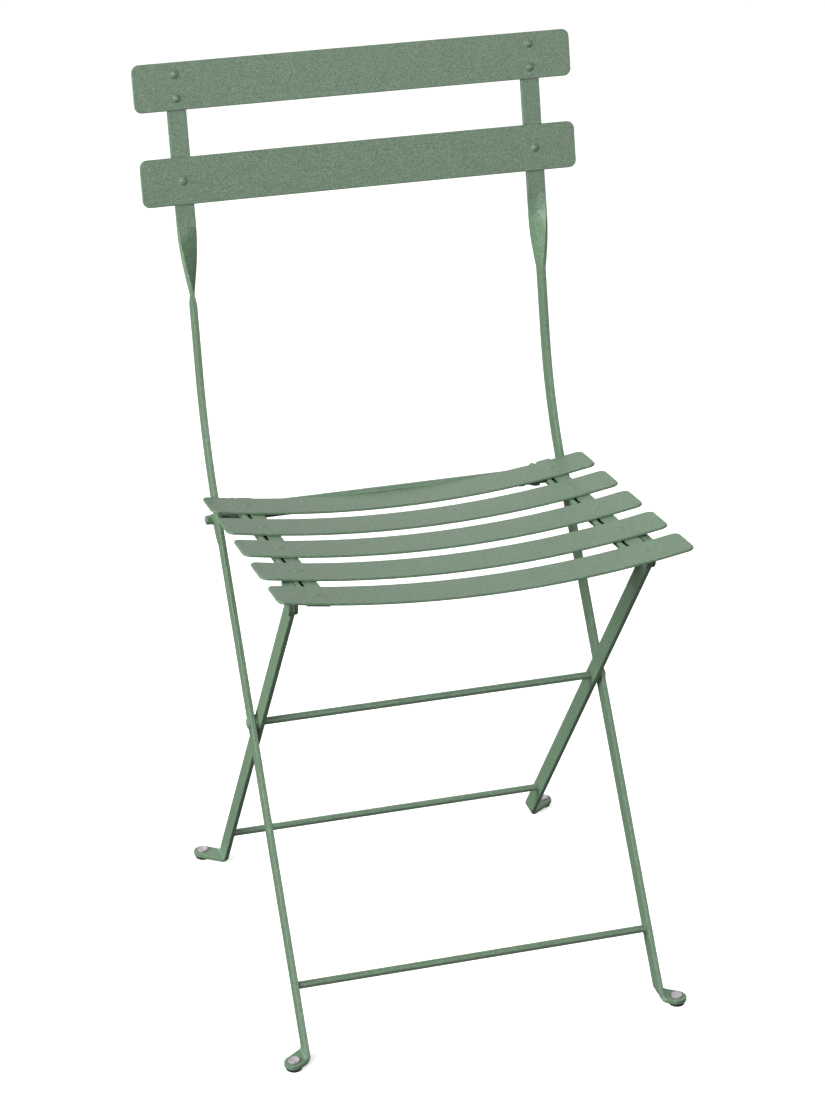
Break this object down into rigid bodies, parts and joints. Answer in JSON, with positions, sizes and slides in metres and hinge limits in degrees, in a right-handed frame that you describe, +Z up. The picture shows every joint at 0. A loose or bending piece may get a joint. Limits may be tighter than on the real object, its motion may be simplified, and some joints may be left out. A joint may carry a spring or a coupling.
{
  "type": "folding chair",
  "caption": "Folding garden chair of flat steel bar with crossed legs, a dished slatted seat hinged to the front of the frame and a bowed slatted back.",
  "frame": {"origin": "on the floor, in the middle of the chair's bounding box", "axes": "+Z up, +Y towards the back of the chair, +X sideways; the front of the seat faces -Y"},
  "size_m": [0.4202, 0.4403, 0.8177],
  "materials": {
    "powder_coat": "sage green fine-textured powder coat",
    "stud_metal": "dull zinc-plated steel",
    "glide_rubber": "matt black rubber"
  },
  "bodies": {
    "long_leg_frame": {"back_rivets": "powder_coat", "back_slat_lower": "powder_coat", "back_slat_upper": "powder_coat", "front_foot_rod": "powder_coat", "glide_front_left": "glide_rubber", "glide_front_right": "glide_rubber", "glide_stud_front_left": "stud_metal", "glide_stud_front_right": "stud_metal", "long_leg_left": "powder_coat", "long_leg_right": "powder_coat", "rest_rod_saddle_left": "powder_coat", "rest_rod_saddle_right": "powder_coat", "seat_rest_rod": "powder_coat"},
    "short_leg_frame": {"glide_rear_left": "glide_rubber", "glide_rear_right": "glide_rubber", "glide_stud_rear_left": "stud_metal", "glide_stud_rear_right": "stud_metal", "pivot_rod": "powder_coat", "pivot_washer_left": "powder_coat", "pivot_washer_right": "powder_coat", "rear_foot_rod": "powder_coat", "short_leg_left": "powder_coat", "short_leg_right": "powder_coat"},
    "seat": {"hinge_clevis_left": "powder_coat", "hinge_clevis_right": "powder_coat", "hinge_pin_left": "powder_coat", "hinge_pin_right": "powder_coat", "seat_hook_left": "powder_coat", "seat_hook_right": "powder_coat", "seat_rail_left": "powder_coat", "seat_rail_right": "powder_coat", "seat_rear_rod": "powder_coat", "seat_rivets": "powder_coat", "seat_slat_1": "powder_coat", "seat_slat_2": "powder_coat", "seat_slat_3": "powder_coat", "seat_slat_4": "powder_coat", "seat_slat_5": "powder_coat"}
  },
  "joints": [
    {"name": "leg_fold", "type": "hinge", "parent": "long_leg_frame", "child": "short_leg_frame", "pos_m": [0, -0.02122, 0.2542], "axis": [-1, 0, 0], "range_deg": [0, 59]},
    {"name": "seat_fold", "type": "hinge", "parent": "short_leg_frame", "child": "seat", "pos_m": [0, -0.16122, 0.44], "axis": [1, 0, 0], "range_deg": [0, 139]}
  ],
  "couplings": [
    {"joint": "seat_fold", "follows": "leg_fold", "ratio": 2.35}
  ]
}
